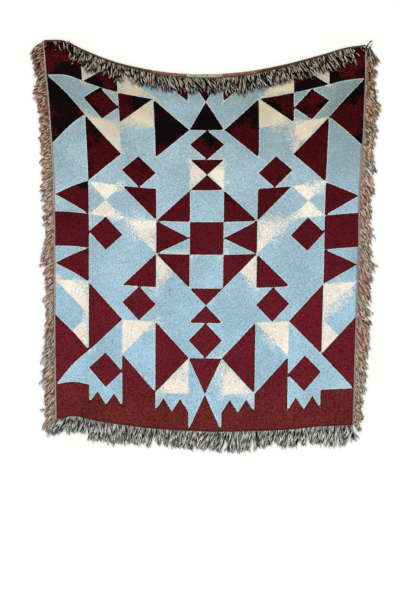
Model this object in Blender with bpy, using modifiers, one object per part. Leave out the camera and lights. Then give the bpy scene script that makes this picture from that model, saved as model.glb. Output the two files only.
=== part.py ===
"""A woven tapestry throw with fringe on all four sides, laid out face up.

The cloth keeps the outline that it has when it is held up by its two upper corners: its upper edge sags
between them, its sides draw in towards the foot and its lower edge bows. The upper edge is turned forward,
so that its fringe lies on the face. The four fringes are the cloth's own yarn ends, each standing in a
narrow heading along one edge. Metres, +Z up, +Y towards the upper edge.
"""

import math

import bmesh
import bpy
from mathutils import Vector
from mathutils.bvhtree import BVHTree

# Cloth, as cut
CLOTH_WIDTH = 1.12
CLOTH_HEIGHT = 1.375
CLOTH_THICKNESS = 0.0025
FLOOR_LEVEL = CLOTH_THICKNESS / 2  # mid-surface of cloth or fringe that lies on the floor

# Upper edge, turned forward over the face
TURN_RADIUS = 0.0026
TURN_STEPS = 4

# Fringe
PIECE_GAP = 0.0003
HEADING_WIDTH = 0.006
LOCK_LENGTH = 0.073
LOCK_SHARE = 0.6  # of the pitch that a lock's root fills
LOCK_TIP = 0.55  # tip width over root width
LOCK_STATIONS = (0.3, 0.65, 1.0)
LOCK_LANDS = 0.6  # share of its length at which a lock reaches the floor
REST_CLEARANCE = 0.0008
RAY_HEIGHT = 1.0

# Mesh steps of the cloth
CLOTH_COLUMNS = 28
CLOTH_ROWS = 32

# How far each side lies inside the cut width, by height from the lower edge (0) to the upper edge (1)
SIDE_COLUMNS = ("height", "left_in", "right_in")
SIDES = (
    (0.0, 0.015, 0.021),
    (0.2, 0.011, 0.013),
    (0.4, 0.010, 0.004),
    (0.6, 0.008, -0.003),
    (0.8, -0.008, -0.019),
    (1.0, -0.031, -0.025),
)

# How far the upper edge sags, the lower edge drops and the flap reaches, by place from left (0) to right (1)
EDGE_COLUMNS = ("across", "top_sag", "foot_drop", "flap")
EDGES = (
    (0.0, 0.000, 0.015, 0.001),
    (0.0625, 0.003, 0.001, 0.001),
    (0.125, 0.037, 0.018, 0.002),
    (0.1875, 0.067, 0.029, 0.0025),
    (0.25, 0.090, 0.038, 0.003),
    (0.375, 0.118, 0.052, 0.008),
    (0.5, 0.126, 0.058, 0.010),
    (0.625, 0.117, 0.058, 0.009),
    (0.75, 0.090, 0.054, 0.005),
    (0.875, 0.051, 0.041, 0.002),
    (0.9375, 0.029, 0.038, 0.0015),
    (1.0, 0.018, 0.035, 0.001),
)
MIDDLE_BOW = 0.020  # how far the rows between them bow down at mid-width
BOW_POWER = 3  # sag and drop die away towards those rows as this power of the height

# Soft folds: a crest runs from where it is highest to where it has died away, in shares of the cut
FOLD_COLUMNS = ("from_x", "from_y", "to_x", "to_y", "rise", "half_width")
FOLDS = (
    (0.07, -0.06, 0.11, 0.46, 0.017, 0.080),
    (0.32, -0.06, 0.27, 0.34, 0.010, 0.095),
    (0.56, -0.06, 0.51, 0.50, 0.012, 0.100),
    (0.80, -0.06, 0.85, 0.40, 0.010, 0.090),
    (-0.04, 0.55, 0.26, 0.63, 0.010, 0.090),
    (1.04, 0.47, 0.76, 0.37, 0.011, 0.095),
    (0.03, 0.93, 0.44, 0.68, 0.014, 0.095),
    (0.97, 0.92, 0.58, 0.66, 0.014, 0.100),
    (0.50, 0.86, 0.30, 0.90, 0.006, 0.070),
)

# How steeply the side locks fall, in degrees below level, and their share of a lock's length, by height
SIDE_LOCK_COLUMNS = ("height", "left_fall", "right_fall", "reach")
SIDE_LOCKS = (
    (0.0, 58.0, 52.0, 0.95),
    (0.2, 64.0, 46.0, 0.95),
    (0.4, 58.0, 58.0, 0.90),
    (0.6, 40.0, 46.0, 0.78),
    (0.8, 34.0, 36.0, 0.73),
    (0.96, 36.0, 42.0, 0.73),
    (1.0, -14.0, -22.0, 0.52),
)

# How far the locks of the upper and lower edges lean to the right, in degrees, and their share of a lock's
# length, by place across
END_LOCK_COLUMNS = ("across", "top_lean", "foot_lean", "top_reach", "foot_reach")
END_LOCKS = (
    (0.0, 0.0, -12.0, 0.45, 0.9),
    (0.05, -16.0, -9.0, 0.5, 1.0),
    (0.12, -14.0, -5.0, 0.85, 1.0),
    (0.25, 6.0, 3.0, 0.95, 1.0),
    (0.5, 14.0, -3.0, 0.95, 1.0),
    (0.75, 24.0, 4.0, 0.95, 1.0),
    (0.9, 34.0, 3.0, 0.95, 1.0),
    (0.96, 22.0, 3.0, 0.75, 1.0),
    (1.0, 0.0, 2.0, 0.4, 0.9),
)

# Each fringe: the lock count, and how much the locks wander in length and angle
FRINGE_COLUMNS = ("edge", "locks", "length_wander", "angle_wander")
FRINGES = (
    ("left", 70, 0.07, 3.0),
    ("right", 70, 0.07, 3.0),
    ("foot", 60, 0.08, 3.5),
    ("top", 60, 0.08, 3.5),
)

CLOTH_BLUE = (0.36, 0.56, 0.66, 1.0)
FRINGE_TAUPE = (0.36, 0.32, 0.28, 1.0)


def rows_of(table, columns):
    """A table's rows, each as a dictionary by column name."""
    return [dict(zip(columns, row)) for row in table]


def smooth(places, values, at):
    """A smooth curve through a table's values: each span is a cubic whose end slopes follow its neighbours."""
    last = len(places) - 1
    at = min(max(at, places[0]), places[last])
    i = max(k for k in range(last) if places[k] <= at)

    def slope(k):
        low, high = max(k - 1, 0), min(k + 1, last)
        return (values[high] - values[low]) / (places[high] - places[low])

    span = places[i + 1] - places[i]
    t = (at - places[i]) / span
    rise = values[i + 1] - values[i]
    bend_in = slope(i) * span - rise
    bend_out = rise - slope(i + 1) * span
    return values[i] + t * rise + t * (1 - t) * (bend_in * (1 - t) + bend_out * t)


def smooth_column(table, columns, name, at):
    """The smooth curve through one named column of a table, read against its first column."""
    rows = rows_of(table, columns)
    return smooth([row[columns[0]] for row in rows], [row[name] for row in rows], at)


def raised_cosine(share):
    """From 1 down to 0, level at both ends."""
    return (1 + math.cos(math.pi * share)) / 2


def fold_rise(across, height):
    """How far the folds lift the cloth: each is a raised cosine across its crest, and dies away along it."""
    here = Vector((across * CLOTH_WIDTH, height * CLOTH_HEIGHT))
    lift = 0.0
    for fold in rows_of(FOLDS, FOLD_COLUMNS):
        start = Vector((fold["from_x"] * CLOTH_WIDTH, fold["from_y"] * CLOTH_HEIGHT))
        end = Vector((fold["to_x"] * CLOTH_WIDTH, fold["to_y"] * CLOTH_HEIGHT))
        along = end - start
        share = min(max((here - start).dot(along) / along.length_squared, 0.0), 1.0)
        away = (here - start - share * along).length
        if away < fold["half_width"]:
            lift += fold["rise"] * raised_cosine(away / fold["half_width"]) * raised_cosine(share)
    return lift


def row_drop(across, height):
    """How far a row of threads lies below a straight one, from the foot's drop through the bow to the sag."""
    bow = MIDDLE_BOW * 4 * across * (1 - across)
    drop = smooth_column(EDGES, EDGE_COLUMNS, "foot_drop", across)
    sag = smooth_column(EDGES, EDGE_COLUMNS, "top_sag", across)
    return bow + (drop - bow) * (1 - height) ** BOW_POWER + (sag - bow) * height**BOW_POWER


def cloth_point(across, height):
    """A point of the cloth's mid-surface, before the upper edge turns forward."""
    left = -CLOTH_WIDTH / 2 + smooth_column(SIDES, SIDE_COLUMNS, "left_in", height)
    right = CLOTH_WIDTH / 2 - smooth_column(SIDES, SIDE_COLUMNS, "right_in", height)
    straight = CLOTH_HEIGHT - TURN_RADIUS - CLOTH_THICKNESS / 2
    x = left + across * (right - left)
    y = height * straight - CLOTH_HEIGHT / 2 - row_drop(across, height)
    return Vector((x, y, FLOOR_LEVEL + fold_rise(across, height)))


def turned_point(across, turn, flap):
    """A point past the upper edge's bend: turn is the angle gone round, flap the length beyond it."""
    over = Vector((0, TURN_RADIUS * math.sin(turn) - flap, TURN_RADIUS * (1 - math.cos(turn))))
    return cloth_point(across, 1.0) + over


def flap_end(across):
    """A point of the edge that lies on the face."""
    return turned_point(across, math.pi, smooth_column(EDGES, EDGE_COLUMNS, "flap", across))


def material(name, colour, roughness):
    made = bpy.data.materials.new(name)
    made.use_nodes = True
    shader = made.node_tree.nodes["Principled BSDF"]
    shader.inputs["Base Color"].default_value = colour
    shader.inputs["Roughness"].default_value = roughness
    shader.inputs["Metallic"].default_value = 0.0
    return made


def solid_from(name, surface, finish, collection, parent):
    """The open surface as an object of the cloth's thickness, half of it on each side."""
    mesh = bpy.data.meshes.new(name)
    surface.to_mesh(mesh)
    surface.free()
    mesh.materials.append(finish)
    made = bpy.data.objects.new(name, mesh)
    collection.objects.link(made)
    made.parent = parent
    shell = made.modifiers.new("thickness", "SOLIDIFY")
    shell.thickness = CLOTH_THICKNESS
    shell.offset = 0.0
    return made


def cloth_surface():
    """The woven panel: a grid laid on the outline and folds, its last rows going round the upper edge."""
    rows = CLOTH_ROWS + TURN_STEPS + 1
    surface = bmesh.new()
    bmesh.ops.create_grid(surface, x_segments=CLOTH_COLUMNS, y_segments=rows, size=0.5)
    for vertex in surface.verts:
        across = vertex.co.x + 0.5
        row = round((vertex.co.y + 0.5) * rows)
        if row <= CLOTH_ROWS:
            vertex.co = cloth_point(across, row / CLOTH_ROWS)
        elif row < rows:
            vertex.co = turned_point(across, math.pi * (row - CLOTH_ROWS) / TURN_STEPS, 0.0)
        else:
            vertex.co = flap_end(across)
    return surface


def edge_line(edge):
    """The cloth's mid-surface points along one edge, and the level direction that leads out of it."""
    heights = [row / CLOTH_ROWS for row in range(CLOTH_ROWS + 1)]
    acrosses = [step / CLOTH_COLUMNS for step in range(CLOTH_COLUMNS + 1)]
    if edge == "left":
        return [cloth_point(0.0, height) for height in heights], Vector((-1, 0, 0))
    if edge == "right":
        return [cloth_point(1.0, height) for height in heights], Vector((1, 0, 0))
    if edge == "foot":
        return [cloth_point(across, 0.0) for across in acrosses], Vector((0, -1, 0))
    return [flap_end(across) for across in acrosses], Vector((0, -1, 0))


def along_line(line, share):
    """The point at that share of a line's steps, straight between its points."""
    place = share * (len(line) - 1)
    i = min(int(place), len(line) - 2)
    return line[i].lerp(line[i + 1], place - i)


def heading_shares(locks):
    """Where a heading's steps fall along its edge: its two ends, and the two sides of each lock's root."""
    shares = [0.0]
    for lock in range(locks):
        shares.append((lock + (1 - LOCK_SHARE) / 2) / locks)
        shares.append((lock + (1 + LOCK_SHARE) / 2) / locks)
    return shares + [1.0]


def wander(lock, seed):
    """A wobble between -1 and 1 that changes gently from one lock to the next."""
    return 0.6 * math.sin(1.13 * lock + seed) + 0.4 * math.sin(2.71 * lock + 2.3 * seed)


def lock_length(edge, share, stretch):
    """A lock's length: shorter by the upper corners, and stretched or shrunk by its own share."""
    if edge in ("left", "right"):
        reach = smooth_column(SIDE_LOCKS, SIDE_LOCK_COLUMNS, "reach", share)
    else:
        reach = smooth_column(END_LOCKS, END_LOCK_COLUMNS, edge + "_reach", share)
    return LOCK_LENGTH * reach * (1 + stretch)


def lock_direction(edge, share, turn):
    """The level direction of a lock: what its edge's table says, and turn in degrees more."""
    if edge in ("left", "right"):
        fall = smooth_column(SIDE_LOCKS, SIDE_LOCK_COLUMNS, edge + "_fall", share)
        angle = math.radians(fall + turn)
        outward = -1 if edge == "left" else 1
        return Vector((outward * math.cos(angle), -math.sin(angle), 0))
    lean = smooth_column(END_LOCKS, END_LOCK_COLUMNS, edge + "_lean", share)
    angle = math.radians(lean + turn)
    return Vector((math.sin(angle), -math.cos(angle), 0))


def floor_height(place, root_height, station):
    """A lock outside the cloth eases down from its heading and then lies level on the floor."""
    share = min(station / LOCK_LANDS, 1.0)
    return FLOOR_LEVEL + (root_height - FLOOR_LEVEL) * (1 - share * share * (3 - 2 * share))


def face_height_over(cloth):
    """A lock on the face lies just above it, over the point where a line straight down meets the cloth."""
    tree = BVHTree.FromObject(cloth, bpy.context.evaluated_depsgraph_get())

    def face_height(place, root_height, station):
        hit = tree.ray_cast(Vector((place.x, place.y, RAY_HEIGHT)), Vector((0, 0, -1)))[0]
        face = hit.z if hit else 0.0
        return face + REST_CLEARANCE + FLOOR_LEVEL

    return face_height


def draw_lock(surface, root, direction, length, height_of):
    """Draws a tapering lock out of one edge of the heading, station by station."""
    middle = (root.verts[0].co + root.verts[1].co) / 2
    root_of = {vertex: vertex.co.copy() for vertex in root.verts}
    end = root
    for station in LOCK_STATIONS:
        made = bmesh.ops.extrude_edge_only(surface, edges=[end])["geom"]
        drawn = [item for item in made if isinstance(item, bmesh.types.BMVert)]
        for vertex in drawn:
            behind = min(end.verts, key=lambda old: (old.co - vertex.co).length)
            root_of[vertex] = root_of[behind]
        end = surface.edges.get(drawn)
        narrow = 1 - (1 - LOCK_TIP) * station
        for vertex in drawn:
            start = root_of[vertex]
            place = middle + narrow * (start - middle) + station * length * direction
            place.z = height_of(place, start.z, station)
            vertex.co = place


def fringe_surface(fringe, height_of):
    """A heading along the edge, with a lock drawn out of every second step of its outer side."""
    edge = fringe["edge"]
    locks = fringe["locks"]
    line, outward = edge_line(edge)
    shares = heading_shares(locks)
    steps = len(shares) - 1
    surface = bmesh.new()
    bmesh.ops.create_grid(surface, x_segments=steps, y_segments=1, size=0.5)
    outer = {}
    for vertex in surface.verts:
        step = round((vertex.co.x + 0.5) * steps)
        out = PIECE_GAP
        if vertex.co.y < 0:
            outer[step] = vertex
            out += HEADING_WIDTH
        vertex.co = along_line(line, shares[step]) + out * outward
    seed = len(edge)
    for lock in range(locks):
        root = surface.edges.get((outer[2 * lock + 1], outer[2 * lock + 2]))
        share = (lock + 0.5) / locks
        direction = lock_direction(edge, share, fringe["angle_wander"] * wander(lock, seed))
        length = lock_length(edge, share, fringe["length_wander"] * wander(lock, seed + 4))
        draw_lock(surface, root, direction, length, height_of)
    bmesh.ops.recalc_face_normals(surface, faces=surface.faces)
    return surface


def centre_on_floor(holder, pieces):
    """Moves the holder so that the pieces' box stands centred on the origin."""
    bpy.context.view_layer.update()
    graph = bpy.context.evaluated_depsgraph_get()
    corners = [Vector(corner) for piece in pieces for corner in piece.evaluated_get(graph).bound_box]
    low = Vector([min(corner[axis] for corner in corners) for axis in range(3)])
    high = Vector([max(corner[axis] for corner in corners) for axis in range(3)])
    middle = (low + high) / 2
    holder.location = (-middle.x, -middle.y, -low.z)


def main():
    for old in list(bpy.data.objects):
        bpy.data.objects.remove(old)
    collection = bpy.data.collections.new("throw_blanket")
    bpy.context.scene.collection.children.link(collection)
    holder = bpy.data.objects.new("throw_blanket", None)
    collection.objects.link(holder)

    cloth_finish = material("woven_cloth", CLOTH_BLUE, 0.95)
    yarn_finish = material("fringe_yarn", FRINGE_TAUPE, 0.95)
    cloth = solid_from("cloth", cloth_surface(), cloth_finish, collection, holder)
    pieces = [cloth]
    bpy.context.view_layer.update()
    for fringe in rows_of(FRINGES, FRINGE_COLUMNS):
        height_of = face_height_over(cloth) if fringe["edge"] == "top" else floor_height
        surface = fringe_surface(fringe, height_of)
        pieces.append(solid_from("fringe_" + fringe["edge"], surface, yarn_finish, collection, holder))
    centre_on_floor(holder, pieces)


main()
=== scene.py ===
"""A woven tapestry throw with fringe along all its edges, laid out face up on a pale floor.

Metres throughout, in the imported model's frame: the floor is Z 0, and +Y leads to the turned upper edge.
"""

import math

import bpy
import numpy as np
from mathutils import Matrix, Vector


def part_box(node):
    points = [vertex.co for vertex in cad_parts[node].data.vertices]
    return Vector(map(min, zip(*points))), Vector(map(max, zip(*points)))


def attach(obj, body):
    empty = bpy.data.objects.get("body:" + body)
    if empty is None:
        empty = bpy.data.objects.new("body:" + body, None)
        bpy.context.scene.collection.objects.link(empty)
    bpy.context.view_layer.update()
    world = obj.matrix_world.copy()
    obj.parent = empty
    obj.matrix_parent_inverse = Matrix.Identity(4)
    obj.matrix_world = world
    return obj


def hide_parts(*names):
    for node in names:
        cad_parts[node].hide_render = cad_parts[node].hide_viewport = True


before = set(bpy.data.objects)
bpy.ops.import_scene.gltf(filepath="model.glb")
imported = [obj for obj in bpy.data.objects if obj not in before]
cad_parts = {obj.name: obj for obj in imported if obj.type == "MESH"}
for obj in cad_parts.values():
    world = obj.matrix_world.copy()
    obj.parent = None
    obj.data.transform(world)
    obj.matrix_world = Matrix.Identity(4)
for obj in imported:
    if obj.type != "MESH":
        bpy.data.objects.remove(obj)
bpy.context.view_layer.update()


# The woven panel's form: one jacquard-woven cotton cloth of several yarn colours, cut square, with fringe on
# every side. It lies in the outline it takes between its two upper corners: the upper edge sags and is turned
# forward, the sides draw in, and soft folds run from the corners and up from the foot.
CLOTH_WIDTH = 1.12
CLOTH_HEIGHT = 1.375
CLOTH_THICKNESS = 0.0025
FLOOR_LEVEL = CLOTH_THICKNESS / 2
TURN_RADIUS = 0.0026
MODULES_ACROSS = 9
MODULES_UP = 11
STEPS_PER_MODULE = 20
TURN_STEPS = 6
FLAP_STEPS = 2

# How far each side lies inside the cut width, by height
SIDE_COLUMNS = ("height", "left_in", "right_in")
SIDES = (
    (0.0, 0.015, 0.021),
    (0.2, 0.011, 0.013),
    (0.4, 0.010, 0.004),
    (0.6, 0.008, -0.003),
    (0.8, -0.008, -0.019),
    (1.0, -0.031, -0.025),
)

# How far the upper edge sags, the lower edge drops and the flap reaches, by place from left to right
EDGE_COLUMNS = ("across", "top_sag", "foot_drop", "flap")
EDGES = (
    (0.0, 0.000, 0.015, 0.001),
    (0.0625, 0.003, 0.001, 0.001),
    (0.125, 0.037, 0.018, 0.002),
    (0.1875, 0.067, 0.029, 0.0025),
    (0.25, 0.090, 0.038, 0.003),
    (0.375, 0.118, 0.052, 0.008),
    (0.5, 0.126, 0.058, 0.010),
    (0.625, 0.117, 0.058, 0.009),
    (0.75, 0.090, 0.054, 0.005),
    (0.875, 0.051, 0.041, 0.002),
    (0.9375, 0.029, 0.038, 0.0015),
    (1.0, 0.018, 0.035, 0.001),
)

# How far the middle rows bow down, and the power of the height by which sag and drop fade towards them
MIDDLE_BOW = 0.020
BOW_POWER = 3

# Soft folds: a crest's start and end in shares of the cut, its rise at the start and its half width
FOLDS = (
    (0.07, -0.06, 0.11, 0.46, 0.017, 0.080),
    (0.32, -0.06, 0.27, 0.34, 0.010, 0.095),
    (0.56, -0.06, 0.51, 0.50, 0.012, 0.100),
    (0.80, -0.06, 0.85, 0.40, 0.010, 0.090),
    (-0.04, 0.55, 0.26, 0.63, 0.010, 0.090),
    (1.04, 0.47, 0.76, 0.37, 0.011, 0.095),
    (0.03, 0.93, 0.44, 0.68, 0.014, 0.095),
    (0.97, 0.92, 0.58, 0.66, 0.014, 0.100),
    (0.50, 0.86, 0.30, 0.90, 0.006, 0.070),
)

# Storage creases, where the throw lay folded, and the slight puckers of a loose weave
CREASE_ACROSS = 0.525
CREASE_HEIGHT = 0.765
CREASE_RISE = 0.0014
CREASE_HALF_WIDTH = 0.007
PUCKER_RISE = 0.0007
PUCKER_LENGTHS = (0.083, 0.061, 0.047)
PUCKER_WANDERS = (1.3, 0.8)


def smooth(table, columns, name, at):
    """A smooth curve through one column of a table, read against its first column.

    Between two rows it is the cubic through both values whose slope at each row is that of the straight line
    between the row's neighbours.
    """
    values = np.array(table, float)
    places = values[:, 0]
    heights = values[:, columns.index(name)]
    last = len(places) - 1
    low = np.maximum(np.arange(last + 1) - 1, 0)
    high = np.minimum(np.arange(last + 1) + 1, last)
    slopes = (heights[high] - heights[low]) / (places[high] - places[low])
    at = np.clip(at, places[0], places[last])
    i = np.clip(np.searchsorted(places, at, side="right") - 1, 0, last - 1)
    span = places[i + 1] - places[i]
    t = (at - places[i]) / span
    rise = heights[i + 1] - heights[i]
    bend_in = slopes[i] * span - rise
    bend_out = rise - slopes[i + 1] * span
    return heights[i] + t * rise + t * (1 - t) * (bend_in * (1 - t) + bend_out * t)


def raised_cosine(share):
    """From 1 at share 0 down to 0 at share 1, level at both ends."""
    return (1 + np.cos(np.pi * np.clip(share, 0, 1))) / 2


def fold_rise(across, height):
    """How far the folds lift the cloth: each is a raised cosine across its crest, and dies away along it."""
    lift = 0 * (across + height)
    for fold in FOLDS:
        from_x, from_y, to_x, to_y, rise, half_width = fold
        run_x = (to_x - from_x) * CLOTH_WIDTH
        run_y = (to_y - from_y) * CLOTH_HEIGHT
        here_x = (across - from_x) * CLOTH_WIDTH
        here_y = (height - from_y) * CLOTH_HEIGHT
        share = np.clip((here_x * run_x + here_y * run_y) / (run_x**2 + run_y**2), 0, 1)
        away = np.hypot(here_x - share * run_x, here_y - share * run_y)
        lift = lift + rise * raised_cosine(away / half_width) * raised_cosine(share)
    return lift


def fine_rise(across, height):
    """The creases and puckers: a narrow ridge along each crease, and crossed sine waves that wander."""
    x = across * CLOTH_WIDTH
    y = height * CLOTH_HEIGHT
    upright = raised_cosine(np.abs(x - CREASE_ACROSS * CLOTH_WIDTH) / CREASE_HALF_WIDTH)
    level = raised_cosine(np.abs(y - CREASE_HEIGHT * CLOTH_HEIGHT) / CREASE_HALF_WIDTH)
    first, second, third = (2 * np.pi / length for length in PUCKER_LENGTHS)
    wander_x, wander_y = PUCKER_WANDERS
    waves = np.sin(first * x + wander_x * np.sin(second * y))
    waves = waves * np.sin(second * y + wander_y * np.sin(third * x))
    return CREASE_RISE * np.maximum(upright, level) + PUCKER_RISE * (1 + waves)


cloth_low, cloth_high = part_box("cloth")
side_heights = np.linspace(0, 1, 101)
left_most = (smooth(SIDES, SIDE_COLUMNS, "left_in", side_heights) - CLOTH_WIDTH / 2).min()
right_most = (CLOTH_WIDTH / 2 - smooth(SIDES, SIDE_COLUMNS, "right_in", side_heights)).max()
FRAME_X = (cloth_low[0] + cloth_high[0] - left_most - right_most) / 2
FRAME_Y = cloth_high[1] - CLOTH_HEIGHT / 2
STRAIGHT_HEIGHT = CLOTH_HEIGHT - TURN_RADIUS - CLOTH_THICKNESS / 2


def cloth_sides(height):
    """The cloth's left and right limits at a height."""
    left = FRAME_X - CLOTH_WIDTH / 2 + smooth(SIDES, SIDE_COLUMNS, "left_in", height)
    right = FRAME_X + CLOTH_WIDTH / 2 - smooth(SIDES, SIDE_COLUMNS, "right_in", height)
    return left, right


def row_drop(across, height):
    """How far a row of threads lies below a straight one.

    The middle rows follow a shallow parabola. The foot's drop and the upper edge's sag take its place towards
    those edges, as a power of the height.
    """
    bow = MIDDLE_BOW * 4 * across * (1 - across)
    drop = smooth(EDGES, EDGE_COLUMNS, "foot_drop", across)
    sag = smooth(EDGES, EDGE_COLUMNS, "top_sag", across)
    return bow + (drop - bow) * (1 - height) ** BOW_POWER + (sag - bow) * height**BOW_POWER


def cloth_points(across, height):
    """Points of the cloth's middle surface: shares between the sides, dropped row by row, and lifted."""
    left, right = cloth_sides(height)
    x = left + across * (right - left)
    y = FRAME_Y - CLOTH_HEIGHT / 2 + height * STRAIGHT_HEIGHT - row_drop(across, height)
    z = FLOOR_LEVEL + fold_rise(across, height) + fine_rise(across, height)
    return np.stack(np.broadcast_arrays(x, y, z), axis=-1)


def turned_points(across, turn, flap):
    """Points past the upper edge: round a half circle by the angle turn, then back over the face by flap."""
    across, turn, flap = np.broadcast_arrays(across, turn, flap)
    points = cloth_points(across, 1.0 + 0 * across)
    points[..., 1] += TURN_RADIUS * np.sin(turn) - flap
    points[..., 2] += TURN_RADIUS * (1 - np.cos(turn))
    return points


def quads_between(rows, columns):
    """The corners of every quad of a grid of points, row by row, facing up where rows lead up the page."""
    first = np.arange(rows - 1)[:, None] * columns + np.arange(columns - 1)
    return np.stack([first, first + 1, first + columns + 1, first + columns], axis=-1).reshape(-1, 4)


def piece_from(name, points, quads):
    """An object whose mesh holds these points and quads, shaded smooth and standing at the origin."""
    mesh = bpy.data.meshes.new(name)
    mesh.vertices.add(len(points))
    mesh.vertices.foreach_set("co", np.ascontiguousarray(points, np.float32).ravel())
    mesh.loops.add(quads.size)
    mesh.loops.foreach_set("vertex_index", np.ascontiguousarray(quads, np.int32).ravel())
    mesh.polygons.add(len(quads))
    mesh.polygons.foreach_set("loop_start", np.arange(0, quads.size, 4, dtype=np.int32))
    mesh.update(calc_edges=True)
    mesh.validate()
    mesh.polygons.foreach_set("use_smooth", np.ones(len(quads), bool))
    piece = bpy.data.objects.new(name, mesh)
    bpy.context.scene.collection.objects.link(piece)
    return piece


def give_uv(piece, corner_uv):
    """Writes one place on the UV map for each face corner."""
    layer = piece.data.uv_layers.new(name="cloth_metres")
    layer.uv.foreach_set("vector", np.ascontiguousarray(corner_uv, np.float32).ravel())


def give_value(piece, name, values):
    """Writes one number for each point, as a named attribute that materials read."""
    attribute = piece.data.attributes.new(name, "FLOAT", "POINT")
    attribute.data.foreach_set("value", np.ascontiguousarray(values, np.float32).ravel())


columns = MODULES_ACROSS * STEPS_PER_MODULE
main_rows = MODULES_UP * STEPS_PER_MODULE
across = np.linspace(0, 1, columns + 1)
heights = np.linspace(0, 1, main_rows + 1)
turns = np.linspace(0, np.pi, TURN_STEPS + 1)[1:]
flaps = np.linspace(0, 1, FLAP_STEPS + 1)[1:, None] * smooth(EDGES, EDGE_COLUMNS, "flap", across)
rows_of_points = [cloth_points(across[None], heights[:, None])]
rows_of_points.append(turned_points(across[None], turns[:, None], 0.0))
rows_of_points.append(turned_points(across[None], np.pi, flaps))
cloth_grid = np.concatenate(rows_of_points)
cloth_v = np.concatenate([
    heights[:, None] * CLOTH_HEIGHT + 0 * across,
    CLOTH_HEIGHT + TURN_RADIUS * turns[:, None] + 0 * across,
    CLOTH_HEIGHT + TURN_RADIUS * np.pi + flaps,
])
cloth_u = across * CLOTH_WIDTH + 0 * cloth_v
cloth_uv = np.stack([cloth_u, cloth_v], axis=-1).reshape(-1, 2)
cloth_quads = quads_between(*cloth_grid.shape[:2])
cloth = piece_from("throw_cloth", cloth_grid.reshape(-1, 3), cloth_quads)
give_uv(cloth, cloth_uv[cloth_quads])
shell = cloth.modifiers.new("thickness", "SOLIDIFY")
shell.thickness = CLOTH_THICKNESS
shell.offset = 0.0
shell.material_offset = 1


# The woven design: patchwork triangles, lozenges and peaks in modules of an eighth of a metre, the same on
# both sides of the middle. Wine figures stand on a blue ground, and a few small cream ones lie under them.
MODULE = (CLOTH_WIDTH / MODULES_ACROSS + CLOTH_HEIGHT / MODULES_UP) / 2
FIGURES = {
    ".": (),
    "#": (((-0.5, -0.5), (0.5, -0.5), (0.5, 0.5), (-0.5, 0.5)),),
    "d": (((0.0, -0.5), (0.5, 0.0), (0.0, 0.5), (-0.5, 0.0)),),
    "1": (((-0.5, -0.5), (0.5, -0.5), (0.5, 0.5)),),
    "2": (((-0.5, -0.5), (0.5, -0.5), (-0.5, 0.5)),),
    "3": (((-0.5, -0.5), (0.5, 0.5), (-0.5, 0.5)),),
    "4": (((0.5, -0.5), (0.5, 0.5), (-0.5, 0.5)),),
    "^": (((-0.5, -0.5), (0.5, -0.5), (0.0, 0.5)),),
    "v": (((-0.5, 0.5), (0.0, -0.5), (0.5, 0.5)),),
    ">": (((-0.5, -0.5), (0.5, 0.0), (-0.5, 0.5)),),
    "<": (((0.5, -0.5), (0.5, 0.5), (-0.5, 0.0)),),
    "x": (((-0.5, -0.5), (0.5, -0.5), (0.0, 0.0)), ((-0.5, 0.5), (0.0, 0.0), (0.5, 0.5))),
    "w": (
        ((-0.5, -0.5), (0.5, -0.5), (0.5, 0.0), (-0.5, 0.0)),
        ((-0.5, 0.0), (0.0, 0.0), (-0.25, 0.35)),
        ((0.0, 0.0), (0.5, 0.0), (0.25, 0.35)),
    ),
}

# One letter a module, the turned flap's row first; each row starts at the middle column and runs to the right
WINE_ROWS = (
    "#....", "v3.2#", "^14d1", "d4.14", "x.d4.", ".23.>", "#<.d#", ".32.>", "x.d1.", "d1.41", "v41d4", "^w#w#"
)
CREAM_ROWS = (
    "..###", "..14.", "..2..", "...3.", "4....", "...x.", "..3..", ".4...", "....3", "..4.2", ".2...", "....."
)


def figures_of(chart):
    """The corners of every figure of a chart, round each figure against the clock."""
    figures = []
    for down, letters in enumerate(chart):
        for column, letter in enumerate(letters):
            middle = (column, MODULES_UP + 0.5 - down)
            figures += [np.array(corners) + middle for corners in FIGURES[letter]]
    return figures


def outline_of(figures):
    """The edges round all figures together, without those between neighbours or on the cloth's limits.

    A level or upright edge as long as a module counts as two halves, so that halves cancel too.
    """
    edges = set()
    for corners in figures:
        for start, end in zip(corners, np.roll(corners, -1, axis=0)):
            whole = abs(start - end).sum() == 1.0 and 0.0 in start - end
            stops = [start, (start + end) / 2, end] if whole else [start, end]
            edges.update((tuple(a), tuple(b)) for a, b in zip(stops[:-1], stops[1:]))
    limit = MODULES_ACROSS / 2
    shared = {(b, a) for a, b in edges}
    on_limits = {(a, b) for a, b in edges if a[0] == b[0] == limit or a[1] == b[1] == 0}
    return np.array(sorted(edges - shared - on_limits))


def chart_distance(chart, places):
    """How far places lie outside the figures of a chart, or inside them as a negative number, in metres.

    The places are folded over the middle column, so the design is the same on both sides of it. The distance
    is the least one to the outline's straight edges, and a module at most.
    """
    folded = np.stack([np.abs(places[:, 0]), places[:, 1]], axis=-1)
    figures = figures_of(chart)
    away = np.full(len(places), 1.0)
    for start, end in outline_of(figures):
        side = end - start
        share = np.clip(((folded - start) @ side) / (side @ side), 0, 1)
        away = np.minimum(away, np.linalg.norm(folded - start - share[:, None] * side, axis=1))
    inside = np.zeros(len(places), bool)
    for corners in figures:
        sides = np.roll(corners, -1, axis=0) - corners
        reach = folded[:, None] - corners
        inside |= (sides[:, 0] * reach[..., 1] - sides[:, 1] * reach[..., 0] >= 0).all(-1)
    return np.where(inside, -away, away) * MODULE


cloth_shares = cloth_uv / (CLOTH_WIDTH, CLOTH_HEIGHT)
design_places = cloth_shares * (MODULES_ACROSS, MODULES_UP) - (MODULES_ACROSS / 2, 0)
give_value(cloth, "wine_distance", chart_distance(WINE_ROWS, design_places))
give_value(cloth, "cream_distance", chart_distance(CREAM_ROWS, design_places))


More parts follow.
